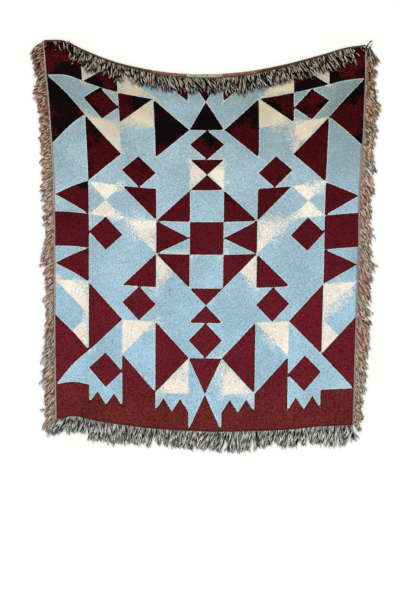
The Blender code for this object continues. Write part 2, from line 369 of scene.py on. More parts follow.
# The weave itself. Thick cotton threads cross in a plain rib, and a second colour of yarn comes to the face
# here and there, which speckles every plain area. Where colours meet, single threads stray over the border.
THREAD = 0.0022
RIB_PINCH = 0.45
SLUB_SHARE = 0.6
WEAVE_BUMP = {"Strength": 0.55, "Distance": 0.0007}
COTTON = {"Roughness": 0.92, "Sheen Weight": 0.015, "Sheen Roughness": 0.5, "Specular IOR Level": 0.06}

# What a value becomes between two of its limits: its low and high limit, then the outcome at each
PATCH_SHARES = (0.3, 0.7, 0.5, 1.5)
# The gaps between threads darken as painted shade
GAP_SHADE_TONES = (0.0, 0.6, 0.72, 1.0)


def linear(colour_code):
    """A colour code of six hex digits as the linear red, green, blue and alpha that sockets take."""
    shares = [int(colour_code[i : i + 2], 16) / 255 for i in (0, 2, 4)]
    return tuple(s / 12.92 if s <= 0.04045 else ((s + 0.055) / 1.055) ** 2.4 for s in shares) + (1.0,)


def feed(tree, value, socket):
    """Links a socket to the output that feeds it, or gives it a plain value."""
    if isinstance(value, bpy.types.NodeSocket):
        tree.links.new(value, socket)
    else:
        socket.default_value = value


def add(tree, kind, sockets=None, **settings):
    """A new shader node: settings are its own properties, and sockets say what its inputs are fed."""
    node = tree.nodes.new("ShaderNode" + kind)
    for name, value in settings.items():
        setattr(node, name, value)
    for key, value in (sockets or {}).items():
        feed(tree, value, node.inputs[key])
    return node


def maths(tree, operation, *values):
    """The result of one Math node."""
    return add(tree, "Math", dict(enumerate(values)), operation=operation).outputs["Value"]


def vector_maths(tree, operation, *values, **sockets):
    """The vector result of one Vector Math node."""
    node = add(tree, "VectorMath", {**dict(enumerate(values)), **sockets}, operation=operation)
    return node.outputs["Vector"]


def mixed(tree, share, colour_a, colour_b, blend="MIX"):
    """The second colour over the first by a share, from one Mix node."""
    sockets = {"Factor": share, "A": colour_a, "B": colour_b}
    node = tree.nodes.new("ShaderNodeMix")
    node.data_type = "RGBA"
    node.blend_type = blend
    for socket in node.inputs:
        if socket.enabled and socket.name in sockets:
            feed(tree, sockets[socket.name], socket)
    return next(socket for socket in node.outputs if socket.enabled)


def toned(tree, colour, tone):
    """A colour made lighter or darker by a factor."""
    grey = add(tree, "CombineColor", {0: tone, 1: tone, 2: tone}).outputs["Color"]
    return mixed(tree, 1.0, colour, grey, "MULTIPLY")


def between(tree, value, low, high, to_low=0.0, to_high=1.0):
    """A value's share between low and high, eased at both ends and set out between to_low and to_high."""
    sockets = {"Value": value, "From Min": low, "From Max": high, "To Min": to_low, "To Max": to_high}
    return add(tree, "MapRange", sockets, interpolation_type="SMOOTHSTEP").outputs["Result"]


def effect_group(name, inputs, outputs):
    """An empty node group with named sockets: its tree, its inputs to read, and its outputs to link to."""
    tree = bpy.data.node_groups.new(name, "ShaderNodeTree")
    for socket, kind in inputs.items():
        tree.interface.new_socket(socket, in_out="INPUT", socket_type="NodeSocket" + kind)
    for socket, kind in outputs.items():
        tree.interface.new_socket(socket, in_out="OUTPUT", socket_type="NodeSocket" + kind)
    return tree, tree.nodes.new("NodeGroupInput").outputs, tree.nodes.new("NodeGroupOutput").inputs


def placed(tree, group, **sockets):
    """A group placed in a material, its inputs given by name with underscores for spaces."""
    node = tree.nodes.new("ShaderNodeGroup")
    node.node_tree = group
    for key, value in sockets.items():
        feed(tree, value, node.inputs[key.replace("_", " ")])
    return node.outputs


def noise(tree, place, scale, detail, roughness=0.5):
    """The value of a noise at a place."""
    sockets = {"Vector": place, "Scale": scale, "Detail": detail, "Roughness": roughness}
    return add(tree, "TexNoise", sockets).outputs["Fac"]


def thread_chance(tree, crossing, draw):
    """A number from 0 to 1 drawn for each crossing of two threads."""
    sockets = {"Vector": crossing, "W": draw}
    return add(tree, "TexWhiteNoise", sockets, noise_dimensions="4D").outputs["Value"]


def thread_cells_group():
    """Cuts a place on the cloth into threads: the whole number of the crossing, and the place within it."""
    tree, given, result = effect_group(
        "thread_cells",
        {"Cloth Place": "Vector", "Thread Width": "Float"},
        {"Crossing": "Vector", "Within": "Vector"},
    )
    per_thread = maths(tree, "DIVIDE", 1.0, given["Thread Width"])
    counted = vector_maths(tree, "SCALE", given["Cloth Place"], Scale=per_thread)
    tree.links.new(vector_maths(tree, "FLOOR", counted), result["Crossing"])
    tree.links.new(vector_maths(tree, "FRACTION", counted), result["Within"])
    return tree


def strayed_mask_group():
    """1 where a distance is below 0, with single threads astray within a band as wide as Stray."""
    tree, given, result = effect_group(
        "strayed_mask",
        {"Distance": "Float", "Crossing": "Vector", "Stray": "Float", "Draw": "Float"},
        {"Mask": "Float"},
    )
    offset = maths(tree, "SUBTRACT", thread_chance(tree, given["Crossing"], given["Draw"]), 0.5)
    shifted = maths(tree, "MULTIPLY_ADD", offset, given["Stray"], given["Distance"])
    tree.links.new(maths(tree, "LESS_THAN", shifted, 0.0), result["Mask"])
    return tree


def speckled_group():
    """A colour with threads of a second one on its face, thicker in some patches than in others."""
    inputs = {"Colour": "Color", "Second Colour": "Color", "Cloth Place": "Vector"}
    inputs.update({"Share": "Float", "Draw": "Float"})
    tree, given, result = effect_group("speckled", inputs, {"Colour": "Color"})
    cells = placed(tree, THREAD_CELLS, Cloth_Place=given["Cloth Place"], Thread_Width=THREAD)
    patch = between(tree, noise(tree, given["Cloth Place"], scale=34.0, detail=2.0), *PATCH_SHARES)
    share = maths(tree, "MULTIPLY", given["Share"], patch)
    hit = maths(tree, "LESS_THAN", thread_chance(tree, cells["Crossing"], given["Draw"]), share)
    tree.links.new(mixed(tree, hit, given["Colour"], given["Second Colour"]), result["Colour"])
    return tree


def rib_group():
    """A plain rib weave: each thread is a half round along the cloth, pinched where the next crosses it.

    Every second row of crossings is set over by half a thread. Height is 0 in the gaps and 1 on a thread.
    """
    inputs = {"Cloth Place": "Vector", "Thread Width": "Float"}
    tree, given, result = effect_group("rib_weave", inputs, {"Height": "Float"})
    cells = placed(tree, THREAD_CELLS, Cloth_Place=given["Cloth Place"], Thread_Width=given["Thread Width"])
    within = add(tree, "SeparateXYZ", {0: cells["Within"]}).outputs
    row = add(tree, "SeparateXYZ", {0: cells["Crossing"]}).outputs["Y"]
    half_step = maths(tree, "MULTIPLY", maths(tree, "PINGPONG", row, 1.0), 0.5)
    along = maths(tree, "SINE", maths(tree, "MULTIPLY", maths(tree, "ADD", within["X"], half_step), math.pi))
    up = maths(tree, "SINE", maths(tree, "MULTIPLY", within["Y"], math.pi))
    pinch = maths(tree, "MULTIPLY_ADD", maths(tree, "ABSOLUTE", along), RIB_PINCH, 1 - RIB_PINCH)
    tree.links.new(maths(tree, "MULTIPLY", maths(tree, "SQRT", up), pinch), result["Height"])
    return tree


THREAD_CELLS = thread_cells_group()
STRAYED_MASK = strayed_mask_group()
SPECKLED = speckled_group()
RIB_WEAVE = rib_group()

# Yarns of the face and of the reverse. Up the face the blue and the wine deepen, partly as dyed and partly as
# painted shade, and the blue's shaded colours paint the shade of the two upper corners
FACE_BLUE_LOW = linear("9FC6DA")
FACE_BLUE_MIDDLE = linear("9FBBC5")
FACE_BLUE_SHADED = linear("798984")
FACE_BLUE_PALE = linear("C4D8E0")
FACE_BLUE_PALE_SHADED = linear("94A49F")
FACE_BLUE_DEEP = linear("7F9FAC")
FACE_WINE_FOOT = linear("672422")
FACE_WINE_LOW = linear("6A1B27")
FACE_WINE_HIGH = linear("3B0307")
FACE_WINE_BRICK = linear("84362C")
FACE_WINE_BRIGHT = linear("6C121B")
FACE_BLACK = linear("0A0304")
FACE_CREAM_LOW = linear("F5ECDE")
FACE_CREAM_HIGH = linear("D9C9A8")
FACE_CREAM_GREY = linear("C6C4B2")
FACE_OUTLINE = linear("D0D3CF")
BACK_BRICK = linear("7E4A38")
BACK_GREEN = linear("AAA992")
BACK_BROWN = linear("4A3A2A")
BACK_THREAD = linear("9A8468")


# Where the face's colours change, as shares of the cloth's height. The blue and wine bands deepen upwards,
# partly as dyed and partly as painted shade
FACE_BANDS = {
    "foot": (0.0, 0.16),
    "brick": (0.0, 0.45),
    "blue": (0.15, 0.75),
    "wine": (0.20, 0.85),
    "black": (0.30, 0.84),
    "cream": (0.62, 0.90),
    "top": (0.93, 0.978),
}

# The painted shade of the two upper corners grows with the height and with the way off this line up the cloth
SHADE_LINE = 0.42
SHADE_LEAN = 0.48
SHADE_SPAN = (1.00, 1.62)

# By one noise each: how far the cream threads stray, how bright the wine's grain is, and how bright the whole
# face is, which paints the shade and light of soft folds in broad patches. By the height over the foot: how
# often brick red speckles the wine
CREAM_STRAYS = (0.45, 0.62, 0.004, 0.075)
GRAIN_TONES = (0.32, 0.68, 0.76, 1.22)
PAINTED_FOLD_TONES = (0.32, 0.68, 0.91, 1.09)
BRICK_SHARES = (0.0, 1.0, 0.18, 0.07)

# The wine's black patches lie where a noise is above a level, which falls up the cloth and to its left, and
# rises again along the upper edge
BLACK_LEAN = -0.20
BLACK_LEVELS = (0.76, 0.46)
BLACK_TOP_LEVELS = (0.0, 0.4)
BLACK_STRAY = 0.09

# A pale line runs round each wine figure, with a black one inside it
PALE_LINE = 0.0020
BLACK_LINE = 0.0024
LINE_STRAY = 0.0016
BACK_WINE_STRAY = 0.003
BACK_CREAM_STRAY = 0.02


def cotton_material(name):
    """A matt cotton material: the material, its tree and its shader."""
    made = bpy.data.materials.new(name)
    made.use_nodes = True
    tree = made.node_tree
    shader = tree.nodes["Principled BSDF"]
    for socket, value in COTTON.items():
        shader.inputs[socket].default_value = value
    return made, tree, shader


def cloth_place(tree):
    """The place on the UV map, in metres along the cloth's own threads."""
    return add(tree, "UVMap", uv_map="cloth_metres").outputs["UV"]


def attribute_value(tree, name):
    """A number that the mesh carries by name."""
    return add(tree, "Attribute", attribute_name=name).outputs["Fac"]


def strayed(tree, distance, crossing, stray, draw):
    """The mask of all that lies below distance 0, with single threads astray over its border."""
    return placed(tree, STRAYED_MASK, Distance=distance, Crossing=crossing, Stray=stray, Draw=draw)["Mask"]


def speckled(tree, place, colour, second, share, draw):
    """A colour speckled with single threads of a second one."""
    return placed(
        tree, SPECKLED, Cloth_Place=place, Colour=colour, Second_Colour=second, Share=share, Draw=draw
    )["Colour"]


def raise_by(tree, shader, height, bump):
    """Feeds a height to the shader's normal through a Bump node of this strength and distance."""
    normal = add(tree, "Bump", {**bump, "Height": height}).outputs["Normal"]
    tree.links.new(normal, shader.inputs["Normal"])


def weave_into(tree, shader, place, colour):
    """Raises the rib weave and the threads' slubs, paints shade in the gaps between threads, and sets the
    colour.
    """
    rib = placed(tree, RIB_WEAVE, Cloth_Place=place, Thread_Width=THREAD)["Height"]
    slub = noise(tree, place, scale=180.0, detail=3.0)
    raise_by(tree, shader, maths(tree, "MULTIPLY_ADD", slub, SLUB_SHARE, rib), WEAVE_BUMP)
    # Painted shade in the gaps between threads
    tree.links.new(toned(tree, colour, between(tree, rib, *GAP_SHADE_TONES)), shader.inputs["Base Color"])


def banded(tree, height, band, *outcome):
    """A height's share within one band of the face, or the outcome between the two given for its limits."""
    low, high = FACE_BANDS[band]
    return between(tree, height, low * CLOTH_HEIGHT, high * CLOTH_HEIGHT, *outcome)


def blue_yarns(tree, place, along):
    """The blue ground: deeper up the cloth, partly dyed and partly painted shade, duller in the painted shade
    of the upper corners, and speckled pale and deep.
    """
    # Painted shade of the upper corners: the blue and its pale speckle turn to their shaded colours
    off_line = maths(tree, "ABSOLUTE", maths(tree, "SUBTRACT", along["X"], SHADE_LINE))
    shade = between(tree, maths(tree, "MULTIPLY_ADD", off_line, SHADE_LEAN, along["Y"]), *SHADE_SPAN)
    # Deeper up the cloth: partly dyed, partly painted shade
    light = mixed(tree, banded(tree, along["Y"], "blue"), FACE_BLUE_LOW, FACE_BLUE_MIDDLE)
    blue = mixed(tree, shade, light, FACE_BLUE_SHADED)
    pale = mixed(tree, shade, FACE_BLUE_PALE, FACE_BLUE_PALE_SHADED)
    blue = speckled(tree, place, blue, pale, share=0.16, draw=1.0)
    return speckled(tree, place, blue, FACE_BLUE_DEEP, share=0.18, draw=2.0)


def wine_yarns(tree, place, along, crossing):
    """The wine of the figures: speckled brick and black, grainy, and mottled with patches of black."""
    foot = banded(tree, along["Y"], "foot")
    wine = mixed(tree, foot, FACE_WINE_FOOT, FACE_WINE_LOW)
    # Deeper up the cloth: partly dyed, partly painted shade
    wine = mixed(tree, banded(tree, along["Y"], "wine"), wine, FACE_WINE_HIGH)
    brick = mixed(tree, banded(tree, along["Y"], "brick"), FACE_WINE_BRICK, FACE_WINE_BRIGHT)
    wine = speckled(tree, place, wine, brick, share=between(tree, foot, *BRICK_SHARES), draw=5.0)
    wine = speckled(tree, place, wine, FACE_BLACK, share=0.12, draw=10.0)
    wine = toned(tree, wine, between(tree, noise(tree, place, scale=190.0, detail=1.0), *GRAIN_TONES))
    leaning = maths(tree, "MULTIPLY_ADD", along["X"], BLACK_LEAN, along["Y"])
    level = banded(tree, leaning, "black", *BLACK_LEVELS)
    level = maths(tree, "ADD", level, banded(tree, along["Y"], "top", *BLACK_TOP_LEVELS))
    below = maths(tree, "SUBTRACT", level, noise(tree, place, scale=6.5, detail=4.0, roughness=0.62))
    return mixed(tree, strayed(tree, below, crossing, BLACK_STRAY, draw=6.0), wine, FACE_BLACK)


def face_material():
    """The face: a blue ground, cream figures with strayed borders, and outlined wine figures on top."""
    made, tree, shader = cotton_material("woven_face")
    place = cloth_place(tree)
    crossing = placed(tree, THREAD_CELLS, Cloth_Place=place, Thread_Width=THREAD)["Crossing"]
    along = add(tree, "SeparateXYZ", {0: place}).outputs
    wine_away = attribute_value(tree, "wine_distance")
    cream_away = attribute_value(tree, "cream_distance")

    cream = mixed(tree, banded(tree, along["Y"], "cream"), FACE_CREAM_LOW, FACE_CREAM_HIGH)
    cream = speckled(tree, place, cream, FACE_CREAM_GREY, share=0.18, draw=3.0)
    cream_stray = between(tree, noise(tree, place, scale=9.0, detail=1.0), *CREAM_STRAYS)
    in_cream = strayed(tree, cream_away, crossing, cream_stray, draw=4.0)
    in_outline = strayed(tree, maths(tree, "SUBTRACT", wine_away, PALE_LINE), crossing, LINE_STRAY, draw=7.0)
    in_figure = strayed(tree, wine_away, crossing, LINE_STRAY, draw=8.0)
    in_wine = strayed(tree, maths(tree, "ADD", wine_away, BLACK_LINE), crossing, LINE_STRAY, draw=9.0)

    colour = mixed(tree, in_cream, blue_yarns(tree, place, along), cream)
    colour = mixed(tree, in_outline, colour, FACE_OUTLINE)
    colour = mixed(tree, in_figure, colour, FACE_BLACK)
    colour = mixed(tree, in_wine, colour, wine_yarns(tree, place, along, crossing))
    # Broad patches of painted fold shade and light over the whole face
    tone = between(tree, noise(tree, place, scale=6.0, detail=2.5), *PAINTED_FOLD_TONES)
    weave_into(tree, shader, place, toned(tree, colour, tone))
    return made


def reverse_material():
    """The reverse: brick red behind the blue ground, grey-green behind wine figures, brown behind cream."""
    made, tree, shader = cotton_material("woven_reverse")
    place = cloth_place(tree)
    crossing = placed(tree, THREAD_CELLS, Cloth_Place=place, Thread_Width=THREAD)["Crossing"]
    brick = speckled(tree, place, BACK_BRICK, BACK_THREAD, share=0.24, draw=11.0)
    green = speckled(tree, place, BACK_GREEN, BACK_BROWN, share=0.16, draw=12.0)
    in_cream = strayed(tree, attribute_value(tree, "cream_distance"), crossing, BACK_CREAM_STRAY, draw=14.0)
    in_wine = strayed(tree, attribute_value(tree, "wine_distance"), crossing, BACK_WINE_STRAY, draw=13.0)
    weave_into(tree, shader, place, mixed(tree, in_wine, mixed(tree, in_cream, brick, BACK_BROWN), green))
    return made


cloth.data.materials.append(face_material())
cloth.data.materials.append(reverse_material())
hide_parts("cloth")
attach(cloth, "root")


# The headings. Along each edge a narrow twined band locks the yarns before they run out as fringe. The sides'
# bands are pinkish taupe and show as a pale line. Those of the foot and the upper edge are grey, and mostly
# hidden.
PIECE_GAP = 0.0003
HEADING_STATIONS = 900
HEADING_SIDES = 8
TWINE_PITCH = 0.0042
TWINE_SWELL = 0.14
TWINE_SPOTS = 0.8
TWINE_SPAN = (0.3, 1.1)
TWINE_BUMP = {"Strength": 0.6, "Distance": 0.0006}
PLIES = 2.0
HEADINGS = {
    "left": {"width": 0.0085, "thickness": 0.0034, "light": "BFA498", "dark": "66514A"},
    "right": {"width": 0.0085, "thickness": 0.0034, "light": "9E8980", "dark": "6F5D56"},
    "foot": {"width": 0.0032, "thickness": 0.0024, "light": "5E5C59", "dark": "201E1E"},
    "top": {"width": 0.0032, "thickness": 0.0024, "light": "4E463D", "dark": "1C1613"},
}


def edge_length(edge):
    """The length of an edge as cut."""
    return CLOTH_HEIGHT if edge in ("left", "right") else CLOTH_WIDTH


def edge_points(edge, shares):
    """Points along one edge of the cloth, and the level direction that leads out of it."""
    if edge == "left":
        return cloth_points(0 * shares, shares), np.array([-1.0, 0.0, 0.0])
    if edge == "right":
        return cloth_points(1 + 0 * shares, shares), np.array([1.0, 0.0, 0.0])
    if edge == "foot":
        return cloth_points(shares, 0 * shares), np.array([0.0, -1.0, 0.0])
    flap = smooth(EDGES, EDGE_COLUMNS, "flap", shares)
    return turned_points(shares, np.pi, flap), np.array([0.0, -1.0, 0.0])


def tube_points(paths, half_widths, half_heights, sides):
    """The skins of many tubes at once: at each station of each path, an oval ring square to the path.

    The ring's one axis is level, and the other stands square to it and to the path.
    """
    run = np.gradient(paths, axis=1)
    run /= np.linalg.norm(run, axis=-1, keepdims=True)
    level = np.cross(run, [0.0, 0.0, 1.0])
    level /= np.linalg.norm(level, axis=-1, keepdims=True)
    rising = np.cross(level, run)
    angles = (np.arange(sides) + 0.5) / sides * 2 * np.pi
    out = np.cos(angles)[:, None] * (half_widths[..., None] * level)[:, :, None]
    up = np.sin(angles)[:, None] * (half_heights[..., None] * rising)[:, :, None]
    return paths[:, :, None] + out + up


def tube_quads(tubes, stations, sides):
    """The quads of many closed tubes: their walls, and both ends closed by a ladder of quads."""
    here = np.arange(sides)
    after = (here + 1) % sides
    ring = np.arange(stations - 1)[:, None] * sides
    wall = np.stack([ring + here, ring + sides + here, ring + sides + after, ring + after], axis=-1)
    wall = wall.reshape(-1, 4)
    rung = np.arange(sides // 2 - 1)
    start = np.stack([rung, rung + 1, sides - 2 - rung, sides - 1 - rung], axis=-1)
    end = start[:, ::-1] + (stations - 1) * sides
    one = np.concatenate([wall, start, end])
    return (np.arange(tubes)[:, None, None] * (stations * sides) + one).reshape(-1, 4)


def tube_uv(runs, tubes, stations, sides):
    """For each quad's corners, the length run along the tube and the share gone round it."""
    corner_side = np.array([[k, k, k + 1, k + 1] for k in range(sides)]) / sides
    corner_station = np.array([0, 1, 1, 0])
    station = np.arange(stations - 1)[:, None, None] + corner_station
    along = runs[:, station + 0 * np.arange(sides)[None, :, None]]
    round_it = np.broadcast_to(corner_side, along.shape)
    wall = np.stack([along, round_it], axis=-1).reshape(tubes, -1, 2)
    caps = np.zeros((tubes, 4 * (sides // 2 - 1), 2))
    return np.concatenate([wall, caps, caps + [1.0, 0.0] * runs[:, -1:, None]], axis=1).reshape(-1, 2)


def twist_group():
    """A yarn's plies: slanting stripes round it, from 0 in the grooves to 1 on the plies."""
    inputs = {"Yarn Place": "Vector", "Ply Length": "Float", "Plies": "Float"}
    tree, given, result = effect_group("twisted_plies", inputs, {"Height": "Float"})
    place = add(tree, "SeparateXYZ", {0: given["Yarn Place"]}).outputs
    turns = maths(tree, "DIVIDE", place["X"], given["Ply Length"])
    phase = maths(tree, "MULTIPLY_ADD", place["Y"], given["Plies"], turns)
    stripe = maths(tree, "ABSOLUTE", maths(tree, "SINE", maths(tree, "MULTIPLY", phase, math.pi)))
    tree.links.new(stripe, result["Height"])
    return tree


TWISTED_PLIES = twist_group()


def plies_along(tree, ply_length):
    """The height of a yarn's plies, each as long as this, along the piece's own UV map."""
    place = cloth_place(tree)
    return placed(tree, TWISTED_PLIES, Yarn_Place=place, Ply_Length=ply_length, Plies=PLIES)["Height"]


def object_place(tree):
    """The place on the piece in metres."""
    return add(tree, "TexCoord").outputs["Object"]


def heading_material(edge):
    """Two yarn colours twined along the band, in slanting stripes with soft edges and spots."""
    made, tree, shader = cotton_material("heading_twine_" + edge)
    plies = plies_along(tree, TWINE_PITCH)
    spots = noise(tree, object_place(tree), scale=260.0, detail=2.0)
    share = between(tree, maths(tree, "MULTIPLY_ADD", spots, TWINE_SPOTS, plies), *TWINE_SPAN)
    colour = mixed(tree, share, linear(HEADINGS[edge]["dark"]), linear(HEADINGS[edge]["light"]))
    tree.links.new(colour, shader.inputs["Base Color"])
    raise_by(tree, shader, plies, TWINE_BUMP)
    return made


def heading_piece(edge):
    """A flattened band swept beside the edge, that swells and narrows with each twine."""
    band = HEADINGS[edge]
    line, outward = edge_points(edge, np.linspace(0, 1, HEADING_STATIONS))
    path = line + (PIECE_GAP + band["width"] / 2) * outward
    run = np.concatenate([[0], np.linalg.norm(np.diff(path, axis=0), axis=1).cumsum()])
    swell = 1 - TWINE_SWELL * np.cos(2 * np.pi * run / TWINE_PITCH) ** 2
    half_widths = band["width"] / 2 * swell[None]
    half_heights = band["thickness"] / 2 * swell[None]
    points = tube_points(path[None], half_widths, half_heights, HEADING_SIDES)
    points[..., 2] = np.maximum(points[..., 2], 0.0)
    quads = tube_quads(1, HEADING_STATIONS, HEADING_SIDES)
    piece = piece_from("heading_" + edge, points.reshape(-1, 3), quads)
    give_uv(piece, tube_uv(run[None], 1, HEADING_STATIONS, HEADING_SIDES))
    piece.data.materials.append(heading_material(edge))
    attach(piece, "root")
    return piece


headings = [heading_piece(edge) for edge in HEADINGS]


# The fringe. The cloth's own yarn ends hang loose, a few centimetres long. Four yarns of mixed colours cling
# together in a lock that twists as it goes and frays at its tip. Darker locks lie below them, partly the
# fringe's own dark yarns and partly painted shade between the upper locks, and clumps of neighbouring locks
# draw together.
LOCK_STATIONS = 12
LOCK_SIDES = 4
PLY_LENGTH = 0.0045
CLUMP_WIDTHS = (0.024, 0.050)
CLUMP_LEAN = 4.0
CLUMP_STRETCH = 0.07
CLUMP_ROUND = 0.13
LENGTH_SPREAD = 0.08
LOCK_ASTRAY = 0.4
ROOT_SHARES = (0.55, 1.0)
ROOT_RISE = 0.0012
FACE_GUESS = 0.9
FACE_ROUNDS = 5

# Along a lock: its waves, the share about which it bends, the start and run of the half sine wave that the
# pile's height follows, and the share in which it comes down from its root
SWING_WAVES = (0.6, 1.5)
BEND_MIDDLE = 0.35
PILE_START = 0.25
PILE_RUN = 0.6
DESCENT_SHARE = 0.5

# Shares of a lock's length: its twist widens over the first, it frays over the next, and tapers over the last
TWIST_SHARE = 0.2
FRAY_SHARE = 0.5
TAPER_SHARE = 0.3
TAPER = 0.55

# How the yarns' tones differ, how they pale from root to tip (painted shade at the roots, wear at the tips),
# and their grooves (painted shade), wear and bump
TONE_SPREAD = 0.12
TONE_LIMITS = (0.7, 1.3)
ROOT_SHADE_TONE = 0.8
TIP_GAIN = 0.3
GROOVE_SHADE_COLOUR = linear("1A1513")
GROOVE_SHADE_SHARES = (0.0, 0.8, 0.4, 0.0)
WEAR_SHARES = (0.5, 0.8, 0.0, 0.2)
YARN_BUMP = {"Strength": 0.7, "Distance": 0.0005}

FRINGES = {
    "left": {"length": 0.074, "bend": 20.0, "pile": 0.0060, "draw_in": 0.34, "draw": 21},
    "right": {"length": 0.074, "bend": -20.0, "pile": 0.0060, "draw_in": 0.34, "draw": 22},
    "foot": {"length": 0.074, "bend": 0.0, "pile": 0.0060, "draw_in": 0.50, "draw": 23},
    "top": {"length": 0.064, "bend": 0.0, "pile": 0.0070, "draw_in": 0.06, "draw": 24},
}

# The locks below and above: how many stand on a metre of edge, their yarns, and the ranges that each lock's
# turns, swing in degrees and share of the pile's height are drawn from
LAYERS = {
    "below": {
        "per_metre": 250, "yarns": 2, "yarn_radius": 0.0019, "twist_radius": 0.0011, "fray": 0.0008,
        "turns": (0.5, 1.5), "swing": (2.0, 9.0), "stray": 4.0, "curl": 8.0,
        "reach": 0.92, "pile": (0.0, 0.35),
    },
    "above": {
        "per_metre": 250, "yarns": 4, "yarn_radius": 0.0014, "twist_radius": 0.0016, "fray": 0.0014,
        "turns": (0.9, 2.3), "swing": (4.0, 22.0), "stray": 8.0, "curl": 18.0,
        "reach": 1.0, "pile": (0.4, 1.0),
    },
}

# How steeply the side locks leave the edge, in degrees below level, and their share of the length, by height
SIDE_LOCK_COLUMNS = ("height", "left_fall", "right_fall", "left_reach", "right_reach")
SIDE_LOCKS = (
    (0.00, 58.0, 52.0, 0.90, 0.57),
    (0.07, 60.0, 50.0, 0.92, 0.60),
    (0.13, 62.0, 50.0, 1.02, 0.80),
    (0.20, 62.0, 48.0, 0.95, 0.80),
    (0.25, 60.0, 50.0, 0.80, 0.97),
    (0.33, 58.0, 54.0, 0.68, 0.86),
    (0.39, 56.0, 56.0, 0.78, 1.00),
    (0.45, 52.0, 54.0, 1.00, 1.10),
    (0.50, 48.0, 50.0, 0.72, 0.90),
    (0.58, 44.0, 47.0, 0.80, 0.74),
    (0.66, 40.0, 44.0, 0.64, 0.88),
    (0.71, 38.0, 42.0, 0.70, 0.62),
    (0.76, 36.0, 40.0, 0.61, 0.73),
    (0.83, 36.0, 38.0, 0.62, 0.79),
    (0.88, 38.0, 40.0, 0.80, 0.68),
    (0.92, 54.0, 44.0, 0.68, 0.56),
    (0.96, 46.0, 52.0, 0.72, 0.62),
    (1.00, 44.0, 58.0, 0.86, 1.00),
)

# The foot's locks by place across: how far they lean to the right in degrees, and their share of the length
FOOT_LOCK_COLUMNS = ("across", "lean", "reach")
FOOT_LOCKS = (
    (0.00, -34.0, 1.12),
    (0.02, -16.0, 0.84),
    (0.05, -5.0, 0.76),
    (0.085, 0.0, 0.83),
    (0.13, 3.0, 0.94),
    (0.20, 4.0, 1.00),
    (0.25, 3.0, 0.86),
    (0.30, 2.0, 0.79),
    (0.40, 0.0, 0.84),
    (0.50, -3.0, 0.87),
    (0.65, 1.0, 0.96),
    (0.72, 4.0, 0.71),
    (0.78, 4.0, 0.80),
    (0.85, 2.0, 0.84),
    (0.93, 2.0, 0.97),
    (1.00, 8.0, 0.90),
)

# The upper edge's locks: also how far they bend, how much the bends differ, and the share that is there
TOP_LOCK_COLUMNS = ("across", "lean", "bend", "curl", "reach", "share")
TOP_LOCKS = (
    (0.00, -10.0, 0.0, 60.0, 0.50, 0.25),
    (0.05, 40.0, -90.0, 110.0, 0.75, 0.35),
    (0.085, 16.0, -60.0, 110.0, 0.92, 0.58),
    (0.13, 2.0, -30.0, 85.0, 0.95, 0.66),
    (0.20, 12.0, 0.0, 34.0, 0.92, 0.90),
    (0.30, 22.0, 6.0, 24.0, 1.00, 1.00),
    (0.40, 32.0, 6.0, 18.0, 1.00, 1.00),
    (0.50, 38.0, 6.0, 18.0, 1.00, 1.00),
    (0.58, 14.0, 8.0, 18.0, 1.00, 1.00),
    (0.66, 32.0, 10.0, 20.0, 1.00, 1.00),
    (0.75, 38.0, 10.0, 20.0, 1.00, 1.00),
    (0.88, 46.0, 8.0, 20.0, 1.00, 1.00),
    (0.945, 50.0, 5.0, 20.0, 0.92, 0.90),
    (0.96, 45.0, 0.0, 20.0, 0.50, 0.12),
    (0.985, 40.0, 0.0, 20.0, 0.40, 0.05),
    (1.00, 128.0, 0.0, 5.0, 0.55, 0.90),
)

# The kinds of yarn in a lock that lies above, and the end yarns' colours by kind and how often each is drawn.
# The side yarns are the cloth's wefts, which change colour every few centimetres, and each yarn of a lock has
# its own tone of them. The dark kind, which all locks below are made of, is partly the yarns' own colour and
# partly painted shade between the locks.
LOCK_KINDS = {
    "left": ("light", "light", "middle", "dark"),
    "right": ("light", "light", "middle", "dark"),
    "foot": ("light", "light", "middle", "dark"),
    "top": ("light", "light", "dark", "dark"),
}
END_YARNS = {
    "foot": {
        "light": (("F0EEE8", 0.40), ("D0CEC7", 0.35), ("AAA8A2", 0.25)),
        "middle": (("A09E98", 0.5), ("73716D", 0.5)),
        "dark": (("121113", 0.65), ("3C3B3B", 0.35)),
    },
    "top": {
        "light": (("DACEBC", 0.35), ("ABA08E", 0.40), ("7F7368", 0.25)),
        "dark": (("0A0502", 0.85), ("20160E", 0.15)),
    },
}
SIDE_WEFTS = ("B09088", "A88E7C", "968F7A", "8A8C82", "A6968E", "A07A6C", "BAA594")
SIDE_TONES = {"light": (1.66, 1.62, 1.56), "middle": (1.0, 0.95, 0.88), "dark": (0.40, 0.31, 0.24)}
SIDE_CREAM = ("E4D8C8", 0.24)
WEFT_RUN = 0.045
WEFT_ASTRAY = 0.40

# How much red, green and blue the side yarns keep by height, and how strongly each kind of yarn follows it
SIDE_TINT_COLUMNS = ("height", "red", "green", "blue")
SIDE_TINTS = (
    (0.00, 1.00, 1.00, 1.00),
    (0.60, 1.04, 1.04, 1.04),
    (0.77, 0.92, 0.86, 0.74),
    (0.87, 0.86, 0.78, 0.62),
    (0.95, 0.56, 0.48, 0.34),
    (1.00, 0.50, 0.44, 0.31),
)
SIDE_TINT_DEPTHS = {"light": 0.45, "middle": 1.5, "dark": 3.0}


def eased(share):
    """From 0 to 1, level at both ends: three squares less two cubes."""
    share = np.clip(share, 0, 1)
    return share * share * (3 - 2 * share)


def face_height(x, y):
    """The height of the cloth's upper face at a place; the place's shares are found in a few rounds."""
    height = FACE_GUESS + 0 * x
    for _ in range(FACE_ROUNDS):
        left, right = cloth_sides(height)
        across = np.clip((x - left) / (right - left), 0, 1)
        rise = y - FRAME_Y + CLOTH_HEIGHT / 2 + row_drop(across, height)
        height = np.clip(rise / STRAIGHT_HEIGHT, 0, 1)
    return cloth_points(across, height)[..., 2] + CLOTH_THICKNESS / 2


